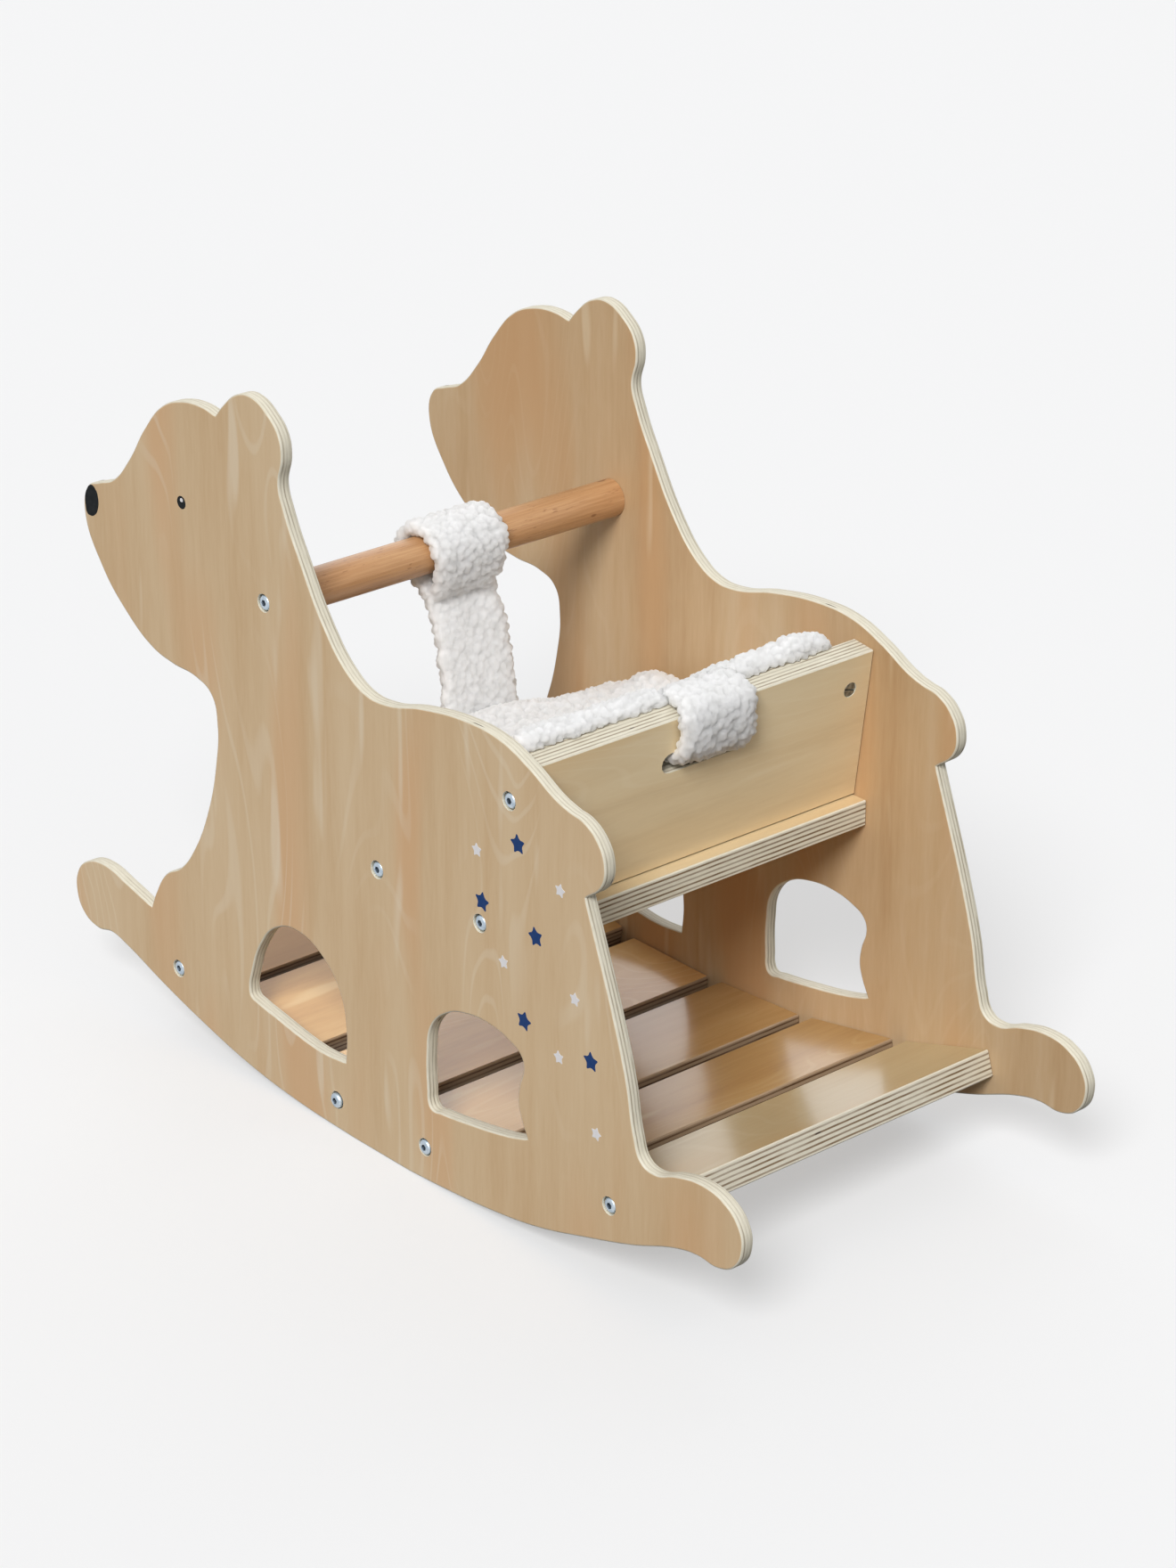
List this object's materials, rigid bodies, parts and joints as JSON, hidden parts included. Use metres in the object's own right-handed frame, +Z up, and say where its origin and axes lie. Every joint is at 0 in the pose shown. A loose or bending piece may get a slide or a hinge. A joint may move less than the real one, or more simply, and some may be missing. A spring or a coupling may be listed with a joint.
{
  "type": "rocking bear seat",
  "caption": "Wooden rocking bear seat for a toddler: bear-shaped plywood sides on curved rockers, seat, backrest, slatted floor, round handlebar and a fleece liner with straps.",
  "frame": {"origin": "middle of the bounding box at floor level, with the toy balanced on its rockers", "axes": "+Z up, the bear looks along -Y, and the rider's left side is +X"},
  "size_m": [0.3046, 0.6767, 0.4844],
  "materials": {
    "panel_veneer": "clear-lacquered light tan plywood, grain running up and down, pale ply edges",
    "board_veneer": "clear-lacquered yellowish birch plywood, grain running across, banded ply edges",
    "slat_veneer": "glossy lacquered pinkish tan plywood, grain running across",
    "beech": "oiled orange-brown beech with fine flecks",
    "fleece": "white looped sherpa fleece",
    "zinc_steel": "bright bluish-white zinc plate",
    "birch_pin": "plain turned birch"
  },
  "bodies": {
    "root": {"panel_left": "panel_veneer", "panel_right": "panel_veneer", "seat_board": "board_veneer", "backrest": "board_veneer", "floor_slat_1": "slat_veneer", "floor_slat_2": "slat_veneer", "floor_slat_3": "slat_veneer", "floor_slat_4": "slat_veneer", "floor_slat_5": "slat_veneer", "floor_slat_6": "slat_veneer", "handlebar": "beech", "seat_liner": "fleece", "bar_strap": "fleece", "rear_strap": "fleece", "bolt_handlebar_left": "zinc_steel", "bolt_handlebar_right": "zinc_steel", "bolt_backrest_left": "zinc_steel", "bolt_backrest_right": "zinc_steel", "bolt_seat_1_left": "zinc_steel", "bolt_seat_1_right": "zinc_steel", "bolt_seat_2_left": "zinc_steel", "bolt_seat_2_right": "zinc_steel", "bolt_slat_1_left": "zinc_steel", "bolt_slat_1_right": "zinc_steel", "bolt_slat_3_left": "zinc_steel", "bolt_slat_3_right": "zinc_steel", "bolt_slat_4_left": "zinc_steel", "bolt_slat_4_right": "zinc_steel", "bolt_slat_6_left": "zinc_steel", "bolt_slat_6_right": "zinc_steel", "nut_backrest_left": "zinc_steel", "nut_backrest_right": "zinc_steel", "nut_seat_1_left": "zinc_steel", "nut_seat_1_right": "zinc_steel", "nut_seat_2_left": "zinc_steel", "nut_seat_2_right": "zinc_steel", "nut_slat_1_left": "zinc_steel", "nut_slat_1_right": "zinc_steel", "nut_slat_3_left": "zinc_steel", "nut_slat_3_right": "zinc_steel", "nut_slat_4_left": "zinc_steel", "nut_slat_4_right": "zinc_steel", "nut_slat_6_left": "zinc_steel", "nut_slat_6_right": "zinc_steel", "bar_insert_left": "zinc_steel", "bar_insert_right": "zinc_steel", "pin_slat_2_front_left": "birch_pin", "pin_slat_2_front_right": "birch_pin", "pin_slat_2_rear_left": "birch_pin", "pin_slat_2_rear_right": "birch_pin", "pin_slat_5_front_left": "birch_pin", "pin_slat_5_front_right": "birch_pin", "pin_slat_5_rear_left": "birch_pin", "pin_slat_5_rear_right": "birch_pin"}
  },
  "joints": []
}
